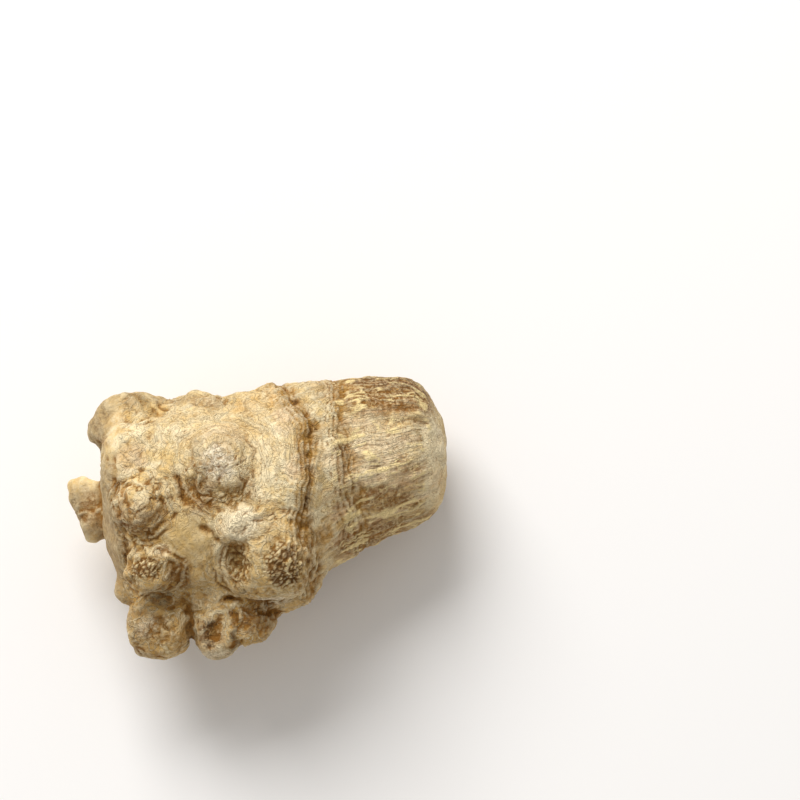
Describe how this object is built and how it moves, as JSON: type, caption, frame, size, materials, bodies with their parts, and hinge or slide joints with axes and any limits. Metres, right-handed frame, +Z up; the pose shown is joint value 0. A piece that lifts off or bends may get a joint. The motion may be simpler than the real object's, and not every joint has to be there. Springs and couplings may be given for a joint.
{
  "type": "notoginseng root",
  "caption": "Dried, knobbly taproot: a broad crown end ringed with rounded rootlet stubs, tapering to a short wrinkled tail.",
  "frame": {"origin": "on the small flat spot of the belly that the root rests on, close to under its centre of mass", "axes": "+X runs from the knobbly crown to the broken tail end, +Z is up, away from the surface it rests on"},
  "size_m": [0.0418, 0.0318, 0.0243],
  "materials": {
    "dried_bark": "matte, dry, wrinkled bark"
  },
  "bodies": {
    "root": {"notoginseng_root": "dried_bark"}
  },
  "joints": []
}
